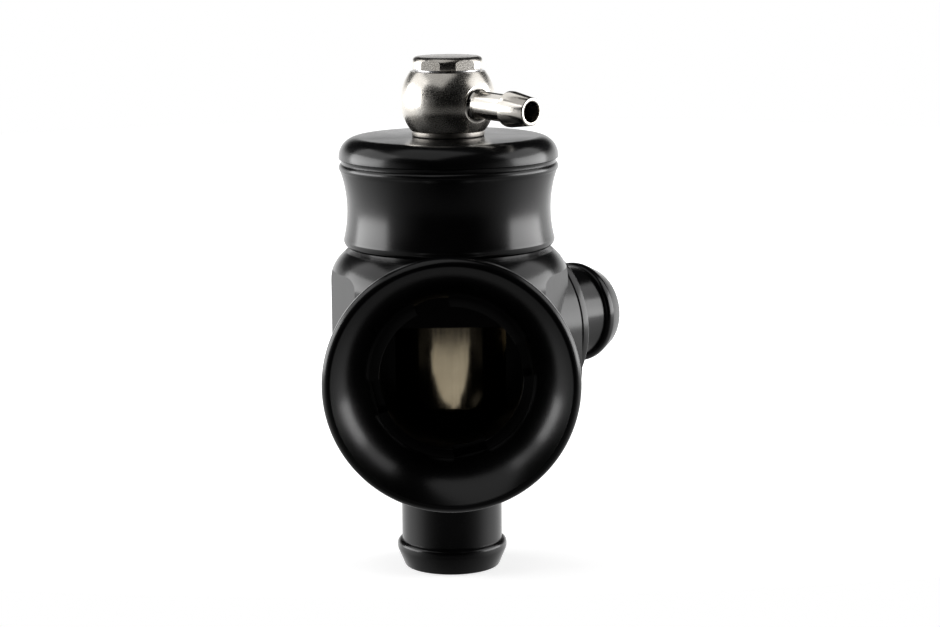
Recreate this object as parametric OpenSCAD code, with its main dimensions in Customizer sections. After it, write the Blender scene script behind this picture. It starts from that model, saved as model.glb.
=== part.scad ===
// Dual-port blow off valve. A sprung piston lifts off the inlet seat and lets charge air out
// through a vent trumpet and through a recirculation hose tail.
// Z is the piston's axis, up, and the trumpet points along -Y. The origin is the centre of
// the inlet tail's end face. All sizes are in millimetres and degrees.

/* [Hose tails] */
// Outside diameter of the inlet tail
inlet_tail_d = 25; // [22:0.5:26]
// Bore of the inlet tail
inlet_bore_d = 21; // [16:0.5:22]
// Outside diameter of the recirculation tail
recirc_tail_d = 23.4; // [20:0.2:25]
// Bore of the recirculation tail
recirc_bore_d = 19.4; // [14:0.2:20]
// Length of a tail from its flange to its end face
tail_length = 24; // [18:0.5:40]
// Height of the hose bead above the tail
tail_bead_rise = 1.15; // [0.6:0.05:1.6]
// Distance of the bead's land from the tail's end face
tail_bead_setback = 4.5; // [3:0.1:8]
// Width of the bead's round land
tail_bead_land = 1; // [0.6:0.1:2]
// How far the tail's tip is smaller in radius than the tail
tail_tip_drop = 0.7; // [0.3:0.1:1.2]
// Diameter of the flanges that seat on the body
flange_d = 43.5; // [40:0.5:46]
// Thickness of a tail's flange
flange_t = 2.5; // [2:0.1:4]

/* [Body] */
// Outside diameter of the turned body
body_d = 59; // [56:0.2:62]
// Height of the body below its neck
body_h = 53.2; // [50:0.2:56]
// Radius of the body's shoulder
body_shoulder_r = 10; // [8:0.1:10.5]
// How much of the shoulder's round the body's top cuts off
body_shoulder_cut = 2; // [0:0.1:3]
// Radius of the body's bottom edge
body_bottom_r = 7.5; // [3:0.1:7.5]
// Height of the trumpet's axis above the body's bottom
trumpet_port_h = 27.9; // [27:0.1:30]
// Height of the recirculation port's axis above the body's bottom
recirc_port_h = 31.5; // [28:0.5:31.5]
// Turn of the recirculation port from the trumpet
recirc_turn = 135; // [120:1:150]
// Distance of the port pads' faces from the piston's axis
pad_reach = 25; // [24:0.2:27]
// Width of a port pad
pad_w = 43; // [40:0.5:45]
// Turn of the two side flats from the trumpet
flat_turn = 67.5; // [60:0.5:75]
// Distance of the side flats from the piston's axis
flat_reach = 26; // [25:0.1:29]
// Height of the side flats above the body's bottom
flat_h = 48.8; // [40:0.1:50]
// Radius of the cutter's round in a flat's top corner
flat_corner_r = 2.5; // [1:0.1:4]
// Width of the round boss left between the side flats
boss_w = 45.8; // [44:0.2:50]
// Diameter of the neck that carries the cap
neck_d = 44; // [40:0.5:46]

/* [Trumpet] */
// Diameter of the mouth over its lip
mouth_d = 60; // [56:0.5:66]
// Distance of the mouth from the piston's axis
mouth_reach = 46.5; // [45:0.5:56]
// Radius of the lip's outer edge
lip_r = 1.8; // [1:0.1:2.4]
// Bore of the trumpet's throat
throat_d = 33.8; // [28:0.2:35]
// Width of the step in front of the throat
throat_step_w = 2.3; // [1.6:0.1:2.6]
// Width of a spanner slot
spanner_slot_w = 8; // [5:0.5:10]
// Depth of a spanner slot
spanner_slot_depth = 4; // [2:0.5:5]
// Turn of the first spanner slot
spanner_slot_turn = 14; // [0:1:89]

/* [Piston and spring] */
// Diameter of the piston
piston_d = 32; // [30:0.2:33]
// Length of the piston
piston_length = 42.6; // [40:0.1:46]
// Bore of the piston's cup
piston_cup_d = 25; // [24:0.2:26]
// Thickness of the piston's floor
piston_floor_t = 4; // [3:0.2:6]
// Lift of the piston
piston_stroke = 15; // [10:0.5:16]
// Height of the inlet seat above the body's bottom
seat_h = 14.6; // [14:0.2:16]
// Diameter of the chamber round the piston
chamber_d = 44; // [42:0.2:45]
// Height of the chamber's ceiling above the body's bottom
chamber_top_h = 36.6; // [35:0.2:38]
// Diameter of the spring's wire
spring_wire_d = 2.2; // [1.6:0.1:2.6]
// Outside diameter of the spring
spring_d = 21; // [18:0.2:22]
// Turns of the spring
spring_turns = 9; // [6:1:11]

/* [Cap] */
// Diameter of the cap over its beads
cap_d = 53.8; // [52:0.2:56]
// Diameter of the cap's waist
cap_waist_d = 50; // [48:0.2:51]
// Radius of the waist's sweep
cap_waist_sweep_r = 29.7; // [25:0.1:40]
// Height of the waist above the cap's bottom
cap_waist_h = 9.4; // [8:0.1:12]
// Diameter of the cap's skirt
cap_skirt_d = 52.4; // [50:0.2:54]
// Radius of the cap's top edge
cap_top_r = 4.8; // [2:0.1:5]
// Radius of the cap's bottom edge
cap_bottom_r = 2.2; // [1:0.1:2.6]
// Distance of the cap's groove below its top
cap_groove_drop = 6; // [5.4:0.1:6.2]
// Depth of the cap's groove
cap_groove_depth = 0.6; // [0.3:0.05:0.8]
// Radius of the round bead below the cap's groove
cap_bead_r = 1.2; // [1:0.1:1.6]
// Distance of the round bead's middle below the groove
cap_bead_drop = 1.4; // [1.2:0.1:1.8]
// Thickness of the cap's roof
cap_roof_t = 4.5; // [3:0.1:7]
// Gap that shows between the cap and the body
cap_gap = 0.9; // [0.2:0.1:1]

/* [Banjo fitting] */
// Diameter of the banjo eye's round
eye_d = 23.2; // [21:0.2:25]
// Height of the banjo eye
eye_h = 14.3; // [12:0.1:16]
// Diameter of the banjo bolt's shank
bolt_d = 9.9; // [8:0.1:10.5]
// Height of the bolt's head
bolt_head_h = 3; // [2.4:0.1:5]
// Width of the bolt's head across its flats
bolt_head_af = 16.8; // [16.4:0.1:17.2]
// Diameter that the head's corners are turned to
bolt_head_d = 17.6; // [17.4:0.1:19]
// Diameter of the lower washer
lower_washer_d = 17.8; // [16:0.1:19]
// Thickness of the lower washer
lower_washer_t = 1.5; // [1:0.1:2]
// Diameter of the upper washer
upper_washer_d = 16; // [15:0.1:17]
// Thickness of the upper washer
upper_washer_t = 0.6; // [0.4:0.1:1.5]
// Turn of the hose nipple from the trumpet
nipple_turn = 42; // [0:1:90]
// Droop of the hose nipple
nipple_droop = 2.1; // [0:0.1:6]
// Distance of the nipple's end from the bolt's axis
nipple_reach = 29.3; // [26:0.1:36]
// Diameter of the nipple's stem
nipple_stem_d = 6.7; // [6:0.1:7.4]
// Diameter of the nipple's barb
nipple_barb_d = 8.65; // [8:0.05:9.5]
// Length of the nipple's barb
nipple_barb_length = 8.3; // [6:0.1:10]
// Bore of the nipple
nipple_bore_d = 5; // [3:0.1:5.4]

/* [Hidden] */

$fn = 96;

// Colours of the finishes
black_anodise = [0.05, 0.05, 0.055];
bright_nickel = [0.78, 0.76, 0.72];
bare_aluminium = [0.68, 0.65, 0.58];
black_rubber = [0.03, 0.03, 0.03];
spring_steel = [0.5, 0.5, 0.52];

// Clearances: a sliding fit, a fixed fit, a seal in its groove and a running cut
slide_clear = 0.05;
fixed_clear = 0.05;
seal_clear = 0.05;
cut = 1;

// Groove that holds a round seal cord with room on every side
groove_room = 0.4;
function groove_depth(cord) = cord + 2 * seal_clear;
function groove_width(cord) = cord + groove_room;

// Seal cords
port_seal_cord_d = 1.6;
piston_seal_cord_d = 2;
cap_seal_cord_d = 2;
nose_seal_cord_d = 1.8;
nose_seal_proud = 0.3;

// Port fittings
port_axis_trumpet = 0;
spigot_length = 5;
spigot_wall = 3;
trumpet_spigot_wall = 1.6;
tail_seal_wall = 1.4;
trumpet_seal_wall = 0.4;
flange_edge = 0.5;
tail_root_r = 1;
inlet_spigot_r = inlet_bore_d / 2 + spigot_wall;
recirc_spigot_r = recirc_bore_d / 2 + spigot_wall;
trumpet_spigot_r = throat_d / 2 + trumpet_spigot_wall;
trumpet_seal_r = trumpet_spigot_r + trumpet_seal_wall;

// Levels up the piston's axis
body_z0 = tail_length + flange_t;
body_z1 = body_z0 + body_h;
trumpet_z = body_z0 + trumpet_port_h;
recirc_z = body_z0 + recirc_port_h;
seat_z = body_z0 + seat_h;
seat_rise = 2;
chamber_z0 = seat_z - seat_rise;
chamber_z1 = body_z0 + chamber_top_h;
piston_z0 = seat_z + nose_seal_proud;
piston_z1 = piston_z0 + piston_length;
lower_seal_rise = 3.8;
lower_seal_z = chamber_z1 + lower_seal_rise;
guide_ring_h = 4.2;
guide_land = 1.25;
guide_ring_z = lower_seal_z + groove_width(piston_seal_cord_d) / 2 + guide_land + seal_clear + guide_ring_h / 2;
upper_seal_z = 2 * guide_ring_z - lower_seal_z;
neck_overlap = 1.7;
neck_z1 = upper_seal_z + piston_stroke + neck_overlap;
piston_stop_clear = 0.2;
stop_z = piston_z1 + piston_stroke + piston_stop_clear;
spring_pocket_h = 4;
roof_z = stop_z + spring_pocket_h;
cap_z0 = body_z1 + cap_gap;
cap_z1 = roof_z + cap_roof_t;
eye_z0 = cap_z1 + lower_washer_t;
eye_z = eye_z0 + eye_h / 2;
eye_z1 = eye_z0 + eye_h;
head_z0 = eye_z1 + upper_washer_t;

// Sections across the piston's axis
bore_r = piston_d / 2 + slide_clear;
seat_land = 4.2;
seat_r = inlet_bore_d / 2 + seat_land;
pad_foot = 1;
pad_lower_z = body_z0 + pad_w / 2 + pad_foot;
passage_wall = 1.45;
passage_floor = bore_r + passage_wall;
guide_ring_t = 1.15;
piston_nose_edge = 1.2;
nose_seal_r = inlet_bore_d / 2 + seat_land / 2;
cap_seal_drop = 2.6;
cap_seal_z = neck_z1 - cap_seal_drop;
cap_groove_r = 0.85;
cap_cavity_room = 0.95;
cap_cavity_r = bore_r + cap_cavity_room;
spring_pocket_step = 0.3;
spring_pocket_r = piston_cup_d / 2 - spring_pocket_step;
bolt_hole_r = bolt_d / 2 + fixed_clear;
bolt_gallery_d = 4.4;
bolt_cross_d = 3;
eye_gallery_h = 5;
eye_gallery_t = 1.6;
head_edge = 0.7;
braze_r = 1.2;
nipple_socket_depth = 4;
nipple_socket = eye_d / 2 - nipple_socket_depth;
nipple_barb_step = 0.8;
nipple_barb_land = 1.2;

// Bell: the flare runs from the throat's step to the lip's flat land
lip_land = 0.3;
lip_set = 0.3;
lip_overhang = 0.8;
step_land = 0.3;
flare_depth = 10.2;
flare_sweep_r = 25;
bell_root = 1;
throat_step_r = throat_d / 2 + throat_step_w;
flare_w = mouth_d / 2 - lip_r - lip_land - throat_step_r;
flare_top = mouth_reach - lip_set;
flare_at = flare_top - flare_depth;
flare_half_turn = asin(norm([flare_w, flare_depth]) / 2 / flare_sweep_r);
flare_lip_turn = atan(flare_depth / flare_w) - flare_half_turn;
flare_mid_r = throat_step_r + flare_w + flare_sweep_r * sin(flare_lip_turn);
flare_mid_at = flare_top - flare_sweep_r * cos(flare_lip_turn);
step_at = flare_at - step_land;
bell_sweep_r = (mouth_d - flange_d) / 2 + bell_root;
bell_sweep_at = mouth_reach - 2 * lip_r - bell_sweep_r + lip_overhang;
slot_count = 4;
slot_wall = 0.6;

// Puts children on a port's axis: local Z runs outwards and local Y runs up
module on_port(turn, height) {
    translate([0, 0, height]) rotate([0, 0, turn]) rotate([90, 0, 0]) children();
}

// Puts children on the nipple's axis, outwards from the middle of the eye
module on_nipple() {
    translate([0, 0, eye_z]) rotate([0, 0, nipple_turn]) rotate([90 + nipple_droop, 0, 0]) children();
}

// Half section of a bar turned about Y with round outer corners
module bar_section(radius, low, high, low_round, high_round) {
    difference() {
        translate([0, low]) square([radius, high - low]);
        if (low_round > 0) corner_cut([radius - low_round, low + low_round], low_round, -1);
        if (high_round > 0) corner_cut([radius - high_round, high - high_round], high_round, 1);
    }
}

// What a round takes off an outer corner, above the centre for side 1 and below it for side -1
module corner_cut(centre, radius, side) {
    translate(centre) difference() {
        translate([0, side > 0 ? 0 : -radius - cut]) square([radius + cut, radius + cut]);
        circle(radius);
    }
}

// Half section of a round groove floor cut into a shaft of the given radius
module groove_section(outer, level, depth, width) {
    translate([outer - depth, level - width / 2]) square([depth + cut, width]);
}

module seal_ring(radius, level, cord) {
    translate([0, 0, level]) rotate_extrude() translate([radius, 0]) circle(cord / 2);
}

// Half section of a hose tail: the flange seats at 0 and the tail runs up
module tail_section(tube_r, spigot_r) {
    tip = flange_t + tail_length;
    bead_r = tube_r + tail_bead_rise;
    land_top = tip - tail_bead_setback;
    land_low = land_top - tail_bead_land;
    translate([0, -spigot_length]) square([spigot_r, spigot_length + flange_t]);
    polygon([[0, 0], [flange_d / 2 - flange_edge, 0], [flange_d / 2, flange_edge],
        [flange_d / 2, flange_t - flange_edge], [flange_d / 2 - flange_edge, flange_t], [0, flange_t]]);
    square([tube_r, tip - cut]);
    difference() {
        translate([0, flange_t - flange_edge]) square([tube_r + tail_root_r, tail_root_r + flange_edge]);
        translate([tube_r + tail_root_r, flange_t + tail_root_r]) circle(tail_root_r);
    }
    polygon([[0, land_low], [bead_r, land_low], [bead_r, land_top], [tube_r - tail_tip_drop, tip], [0, tip]]);
    intersection() {
        translate([tube_r, land_low]) circle(tail_bead_rise);
        translate([0, land_low - tail_bead_rise]) square([bead_r + cut, tail_bead_rise + tail_bead_land / 2]);
    }
}

// A turned hose tail with its seal groove under the flange
module hose_tail(tube_r, hole_r, spigot_r) {
    rotate_extrude() difference() {
        tail_section(tube_r, spigot_r);
        translate([0, -spigot_length - cut]) square([hole_r, spigot_length + flange_t + tail_length + 2 * cut]);
        port_seal_groove_section(spigot_r + tail_seal_wall);
    }
}

// Groove under a flange, from its inner radius outwards
module port_seal_groove_section(inner_r) {
    translate([inner_r, -cut])
        square([groove_width(port_seal_cord_d), groove_depth(port_seal_cord_d) + cut]);
}

module port_seal(inner_r) {
    seal_ring(inner_r + groove_width(port_seal_cord_d) / 2, groove_depth(port_seal_cord_d) / 2, port_seal_cord_d);
}

module on_inlet() {
    translate([0, 0, body_z0]) rotate([180, 0, 0]) children();
}

module on_recirc() {
    on_port(recirc_turn, recirc_z) translate([0, 0, pad_reach]) children();
}

module on_trumpet() {
    on_port(port_axis_trumpet, trumpet_z) children();
}

// Raised pad with round ends that a port's flange seats on
module port_pad(turn, height) {
    on_port(turn, height) linear_extrude(pad_reach) {
        circle(d = pad_w);
        translate([0, pad_lower_z - height]) circle(d = pad_w);
        translate([-pad_w / 2, pad_lower_z - height]) square([pad_w, height - pad_lower_z]);
    }
}

// What is milled off the turned body in front of a pad
module pad_mill(turn) {
    on_port(turn, body_z0) translate([-body_d / 2, -cut, pad_reach]) cube([body_d, body_h + cut, body_d / 2]);
}

// What is milled off on the right of the round boss: a flat with the cutter's round in its top corner
module side_flat() {
    intersection() {
        rotate([0, 0, flat_turn - 90]) translate([flat_reach, -body_d, body_z0 - cut])
            cube([body_d, 2 * body_d, body_h]);
        rotate([90, 0, 0]) linear_extrude(2 * body_d, center = true) translate([body_d, 0]) mirror([1, 0])
            bar_section(body_d - boss_w / 2, body_z0 - cut, body_z0 + flat_h, 0, flat_corner_r);
    }
}

module port_drill(turn, height, spigot_r, passage_r, floor_reach) {
    on_port(turn, height) {
        translate([0, 0, pad_reach - spigot_length])
            cylinder(r = spigot_r + fixed_clear, h = spigot_length + cut);
        translate([0, 0, floor_reach]) cylinder(r = passage_r, h = pad_reach - floor_reach);
    }
}

module body_bores() {
    translate([0, 0, body_z0 - cut]) cylinder(r = inlet_spigot_r + fixed_clear, h = spigot_length + cut);
    translate([0, 0, body_z0]) cylinder(d = inlet_bore_d, h = seat_h + cut);
    translate([0, 0, chamber_z0]) difference() {
        cylinder(d = chamber_d, h = chamber_z1 - chamber_z0);
        translate([0, 0, -cut]) cylinder(r = seat_r, h = seat_z - chamber_z0 + cut);
    }
    translate([0, 0, chamber_z1 - cut]) cylinder(r = bore_r, h = neck_z1 - chamber_z1 + 2 * cut);
}

module body_section() {
    difference() {
        bar_section(body_d / 2, body_z0, body_z1 + body_shoulder_cut, body_bottom_r, body_shoulder_r);
        translate([0, body_z1]) square([body_d / 2, body_shoulder_cut + cut]);
    }
}

module body() {
    color(black_anodise) difference() {
        union() {
            difference() {
                rotate_extrude() body_section();
                side_flat();
                mirror([1, 0, 0]) side_flat();
                pad_mill(port_axis_trumpet);
                pad_mill(recirc_turn);
            }
            port_pad(port_axis_trumpet, trumpet_z);
            port_pad(recirc_turn, recirc_z);
            translate([0, 0, body_z1 - cut]) cylinder(d = neck_d, h = neck_z1 - body_z1 + cut);
        }
        body_bores();
        port_drill(port_axis_trumpet, trumpet_z, trumpet_spigot_r, throat_d / 2, passage_floor);
        port_drill(recirc_turn, recirc_z, recirc_spigot_r, recirc_bore_d / 2, passage_floor);
        rotate_extrude() groove_section(neck_d / 2, cap_seal_z, groove_depth(cap_seal_cord_d) - fixed_clear,
            groove_width(cap_seal_cord_d));
    }
}

module cap_section() {
    waist_z = cap_z0 + cap_waist_h;
    groove_z = cap_z1 - cap_groove_drop;
    bead_z = groove_z - cap_bead_drop;
    difference() {
        union() {
            difference() {
                union() {
                    bar_section(cap_skirt_d / 2, cap_z0, waist_z + cut, cap_bottom_r, 0);
                    translate([0, waist_z]) square([cap_d / 2, bead_z - waist_z]);
                }
                translate([cap_waist_d / 2 + cap_waist_sweep_r, waist_z]) circle(cap_waist_sweep_r, $fn = 240);
            }
            translate([cap_d / 2 - cap_bead_r, bead_z]) circle(cap_bead_r);
            translate([0, bead_z - cut]) square([cap_d / 2 - cap_groove_depth, cap_bead_drop + 2 * cut]);
            bar_section(cap_d / 2, groove_z, cap_z1, 0, cap_top_r);
        }
        translate([cap_d / 2 + cap_groove_r - cap_groove_depth, groove_z]) circle(cap_groove_r);
        translate([0, cap_z0 - cut]) square([neck_d / 2 + fixed_clear, neck_z1 - cap_z0 + cut]);
        translate([0, neck_z1 - cut]) square([cap_cavity_r, stop_z - neck_z1 + cut]);
        translate([0, stop_z - cut]) square([spring_pocket_r, spring_pocket_h + cut]);
        translate([0, roof_z - cut]) square([bolt_hole_r, cap_roof_t + 2 * cut]);
    }
}

module cap() {
    color(black_anodise) rotate_extrude() cap_section();
}

module cap_seal() {
    seal_r = neck_d / 2 + fixed_clear - seal_clear - cap_seal_cord_d / 2;
    color(black_rubber) seal_ring(seal_r, cap_seal_z, cap_seal_cord_d);
}

// Half section of the trumpet, with the distance from the piston's axis along Y
module trumpet_section() {
    difference() {
        union() {
            translate([0, pad_reach - spigot_length]) square([trumpet_spigot_r, spigot_length + cut]);
            difference() {
                bar_section(mouth_d / 2, pad_reach, mouth_reach, 0, lip_r);
                translate([flange_d / 2, pad_reach - cut]) square([mouth_d, bell_sweep_at - pad_reach + cut]);
                translate([flange_d / 2 + bell_sweep_r, bell_sweep_at]) circle(bell_sweep_r);
            }
        }
        translate([0, pad_reach - spigot_length - cut]) square([throat_d / 2, mouth_reach]);
        translate([0, step_at]) square([throat_step_r, mouth_reach]);
        difference() {
            translate([0, flare_at]) square([throat_step_r + flare_w, mouth_reach - flare_at + cut]);
            translate([flare_mid_r, flare_mid_at]) circle(flare_sweep_r, $fn = 240);
        }
        translate([0, pad_reach]) port_seal_groove_section(trumpet_seal_r);
    }
}

module trumpet() {
    color(black_anodise) on_trumpet() difference() {
        rotate_extrude() trumpet_section();
        for (i = [0 : slot_count - 1]) rotate([0, 0, spanner_slot_turn + i * 360 / slot_count])
            translate([0, -spanner_slot_w / 2, step_at - spanner_slot_depth])
                cube([throat_step_r - slot_wall, spanner_slot_w, spanner_slot_depth + cut]);
    }
}

module trumpet_seal() {
    color(black_rubber) on_trumpet() translate([0, 0, pad_reach]) port_seal(trumpet_seal_r);
}

module inlet_tail() {
    color(black_anodise) on_inlet() hose_tail(inlet_tail_d / 2, inlet_bore_d / 2, inlet_spigot_r);
}

module inlet_seal() {
    color(black_rubber) on_inlet() port_seal(inlet_spigot_r + tail_seal_wall);
}

module recirc_tail() {
    color(black_anodise) on_recirc() hose_tail(recirc_tail_d / 2, recirc_bore_d / 2, recirc_spigot_r);
}

module recirc_seal() {
    color(black_rubber) on_recirc() port_seal(recirc_spigot_r + tail_seal_wall);
}

// Hollow bolt: its gallery opens below the cap's roof and crosses to the eye
module banjo_bolt() {
    head_z1 = head_z0 + bolt_head_h;
    color(bright_nickel) difference() {
        union() {
            translate([0, 0, roof_z]) cylinder(d = bolt_d, h = head_z0 - roof_z + cut);
            intersection() {
                translate([0, 0, head_z0]) rotate([0, 0, 30])
                    cylinder(d = bolt_head_af / cos(30), h = bolt_head_h, $fn = 6);
                rotate_extrude() bar_section(bolt_head_d / 2, head_z0, head_z1, 0, head_edge);
            }
        }
        translate([0, 0, roof_z - cut]) cylinder(d = bolt_gallery_d, h = eye_z + bolt_cross_d - roof_z + cut);
        translate([0, 0, eye_z]) rotate([90, 0, 0]) cylinder(d = bolt_cross_d, h = 2 * bolt_d, center = true);
    }
}

module banjo_eye() {
    color(bright_nickel) difference() {
        intersection() {
            translate([0, 0, eye_z]) sphere(d = eye_d);
            translate([0, 0, eye_z0]) cylinder(d = eye_d + cut, h = eye_h);
        }
        translate([0, 0, eye_z0 - cut]) cylinder(r = bolt_hole_r, h = eye_h + 2 * cut);
        translate([0, 0, eye_z - eye_gallery_h / 2]) cylinder(r = bolt_hole_r + eye_gallery_t, h = eye_gallery_h);
        on_nipple() cylinder(d = nipple_bore_d, h = eye_d);
        on_nipple() translate([0, 0, nipple_socket]) cylinder(d = nipple_stem_d + 2 * fixed_clear, h = eye_d);
    }
}

// Half section of the nipple, with the distance from the bolt's axis along Y
module nipple_section() {
    stem_r = nipple_stem_d / 2;
    barb_r = nipple_barb_d / 2;
    barb_at = nipple_reach - nipple_barb_length;
    difference() {
        union() {
            translate([0, nipple_socket]) square([stem_r, nipple_reach - nipple_socket - cut]);
            polygon([[0, barb_at], [stem_r, barb_at], [barb_r, barb_at + nipple_barb_step],
                [barb_r, barb_at + nipple_barb_step + nipple_barb_land], [stem_r, nipple_reach], [0, nipple_reach]]);
        }
        translate([0, nipple_socket - cut]) square([nipple_bore_d / 2, nipple_reach]);
    }
}

module banjo_nipple() {
    braze_z = eye_d / 2 + fixed_clear;
    color(bright_nickel) on_nipple() {
        rotate_extrude() nipple_section();
        translate([0, 0, braze_z]) difference() {
            cylinder(r1 = nipple_stem_d / 2 + braze_r, r2 = nipple_stem_d / 2, h = braze_r);
            translate([0, 0, -cut]) cylinder(d = nipple_bore_d, h = braze_r + 2 * cut);
        }
    }
}

module washer(outer_d, level, thickness) {
    translate([0, 0, level]) difference() {
        cylinder(d = outer_d, h = thickness);
        translate([0, 0, -cut]) cylinder(r = bolt_hole_r, h = thickness + 2 * cut);
    }
}

module banjo_upper_washer() {
    color(spring_steel) washer(upper_washer_d, eye_z1, upper_washer_t);
}

module banjo_lower_washer() {
    color(bright_nickel) washer(lower_washer_d, cap_z1, lower_washer_t);
}

module piston_section() {
    piston_r = piston_d / 2;
    seal_depth = groove_depth(piston_seal_cord_d) - slide_clear;
    nose_depth = nose_seal_cord_d - nose_seal_proud + seal_clear;
    difference() {
        polygon([[0, piston_z0], [piston_r - piston_nose_edge, piston_z0], [piston_r, piston_z0 + piston_nose_edge],
            [piston_r, piston_z1], [0, piston_z1]]);
        translate([0, piston_z0 + piston_floor_t]) square([piston_cup_d / 2, piston_length]);
        groove_section(piston_r, upper_seal_z, seal_depth, groove_width(piston_seal_cord_d));
        groove_section(piston_r, lower_seal_z, seal_depth, groove_width(piston_seal_cord_d));
        groove_section(piston_r, guide_ring_z, guide_ring_t + seal_clear, guide_ring_h + 2 * seal_clear);
        translate([nose_seal_r - groove_width(nose_seal_cord_d) / 2, piston_z0 - cut])
            square([groove_width(nose_seal_cord_d), nose_depth + cut]);
    }
}

module piston() {
    color(bare_aluminium) rotate_extrude() piston_section();
}

module piston_seal(level) {
    seal_ring(bore_r - seal_clear - piston_seal_cord_d / 2, level, piston_seal_cord_d);
}

module piston_upper_seal() {
    color(black_rubber) piston_seal(upper_seal_z);
}

module piston_lower_seal() {
    color(black_rubber) piston_seal(lower_seal_z);
}

module piston_guide_ring() {
    ring_r = bore_r - slide_clear / 2;
    color(black_rubber) translate([0, 0, guide_ring_z - guide_ring_h / 2]) difference() {
        cylinder(r = ring_r, h = guide_ring_h);
        translate([0, 0, -cut]) cylinder(r = ring_r - guide_ring_t, h = guide_ring_h + 2 * cut);
    }
}

module piston_nose_seal() {
    color(black_rubber) seal_ring(nose_seal_r, seat_z + seal_clear + nose_seal_cord_d / 2, nose_seal_cord_d);
}

// Coil spring with closed ends: the wire is swept along its helix
spring_sides = 8;
spring_steps = 20;
spring_end_turns = 1;
spring_z0 = piston_z0 + piston_floor_t + spring_wire_d / 2 + seal_clear;
spring_z1 = roof_z - spring_wire_d / 2 - seal_clear;
spring_rise = spring_z1 - spring_z0 - 2 * spring_end_turns * spring_wire_d;
spring_mid_r = (spring_d - spring_wire_d) / 2;

// Height of the wire's middle after a number of turns
function wire_z(turns) =
    turns < spring_end_turns ? spring_z0 + turns * spring_wire_d
    : turns > spring_turns - spring_end_turns ? spring_z1 - (spring_turns - turns) * spring_wire_d
    : spring_z0 + spring_end_turns * spring_wire_d
        + (turns - spring_end_turns) / (spring_turns - 2 * spring_end_turns) * spring_rise;

function wire_point(turns, side) =
    let (across = spring_mid_r + spring_wire_d / 2 * cos(side * 360 / spring_sides))
    [across * cos(turns * 360), across * sin(turns * 360),
        wire_z(turns) + spring_wire_d / 2 * sin(side * 360 / spring_sides)];

module spring() {
    rings = spring_turns * spring_steps;
    last = rings * spring_sides;
    points = [for (i = [0 : rings]) for (j = [0 : spring_sides - 1]) wire_point(i / spring_steps, j)];
    sides = [for (i = [0 : rings - 1]) for (j = [0 : spring_sides - 1])
        let (k = (j + 1) % spring_sides, a = i * spring_sides, b = a + spring_sides) [a + j, b + j, b + k, a + k]];
    ends = [[for (j = [0 : spring_sides - 1]) j], [for (j = [spring_sides - 1 : -1 : 0]) last + j]];
    color(spring_steel) polyhedron(points, concat(sides, ends), convexity = 10);
}

body();
cap();
cap_seal();
trumpet();
trumpet_seal();
inlet_tail();
inlet_seal();
recirc_tail();
recirc_seal();
banjo_bolt();
banjo_eye();
banjo_nipple();
banjo_upper_washer();
banjo_lower_washer();
piston();
piston_upper_seal();
piston_lower_seal();
piston_guide_ring();
piston_nose_seal();
spring();
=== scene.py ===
import math

import bmesh
import bpy
from mathutils import Matrix, Vector


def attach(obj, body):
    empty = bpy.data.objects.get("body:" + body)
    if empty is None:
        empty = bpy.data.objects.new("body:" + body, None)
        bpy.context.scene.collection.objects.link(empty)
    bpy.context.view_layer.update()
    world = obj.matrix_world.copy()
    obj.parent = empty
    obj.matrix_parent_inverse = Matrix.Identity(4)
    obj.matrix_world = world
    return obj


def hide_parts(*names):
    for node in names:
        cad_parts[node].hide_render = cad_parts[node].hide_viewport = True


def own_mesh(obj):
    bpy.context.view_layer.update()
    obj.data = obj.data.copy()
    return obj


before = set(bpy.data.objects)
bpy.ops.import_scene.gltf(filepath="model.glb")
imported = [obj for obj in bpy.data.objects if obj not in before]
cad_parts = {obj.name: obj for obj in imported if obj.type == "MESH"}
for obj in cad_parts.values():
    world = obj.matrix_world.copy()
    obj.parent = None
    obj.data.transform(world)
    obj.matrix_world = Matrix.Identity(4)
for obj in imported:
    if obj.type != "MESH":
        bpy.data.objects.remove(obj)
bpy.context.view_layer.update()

# Lengths are in millimetres until a piece is finished, and angles in degrees.
MM = 0.001
NEAR = 1e-4
FINE_STEPS, SMALL_STEPS, DRILL_STEPS = 192, 96, 48
SHARP_ANGLE, CREASE_ANGLE, INNER_CREASE_ANGLE = 32, 13, 8
EASE_SEGMENTS, EASE_SEGMENTS_PER_MM, EDGE_SEGMENTS = 4, 2, 3
ROUND_PROFILE = 0.5

# Levels up the piston's axis
BODY_LOW, BODY_HIGH = 26.5, 79.7
TRUMPET_Z = 54.4
RECIRC_Z, RECIRC_TURN = 58.0, 135
CAP_LOW, CAP_HIGH = 80.6, 107.7
STOP_Z, ROOF_Z = 99.2, 103.2
NECK_HIGH = 92.8
SEAT_Z = 41.1
CHAMBER_LOW, CHAMBER_HIGH = 39.1, 63.1
PISTON_LOW, PISTON_HIGH = 41.4, 84.0
LOWER_SEAL_Z, GUIDE_Z, UPPER_SEAL_Z = 66.9, 71.5, 76.1
EYE_LOW, EYE_HIGH = 109.2, 123.5
EYE_Z = (EYE_LOW + EYE_HIGH) / 2
HEAD_LOW, HEAD_HIGH = 124.1, 127.1

# Distances out along a port's axis, and the pad that the port ends on
PASSAGE_AT, SPIGOT_AT, PAD_REACH, DRILL_END = 17.5, 20.0, 25.0, 26.0
PAD_W, PAD_LOW_Z = 43.0, 49.0
NIPPLE_TURN, NIPPLE_DROOP = 42, 2.1

# Radii; the trumpet's hub and the tails' flanges share one
BODY_R, NECK_R, BORE_R, CHAMBER_R = 29.5, 22.0, 16.05, 22.0
INLET_BORE_R, RECIRC_BORE_R, THROAT_R = 10.5, 9.7, 16.9
HUB_R = 21.75
BOLT_HOLE_R = 5.0
EYE_R = 11.6

HOUSING, PISTON_GROUP = "housing", "piston_group"


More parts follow.
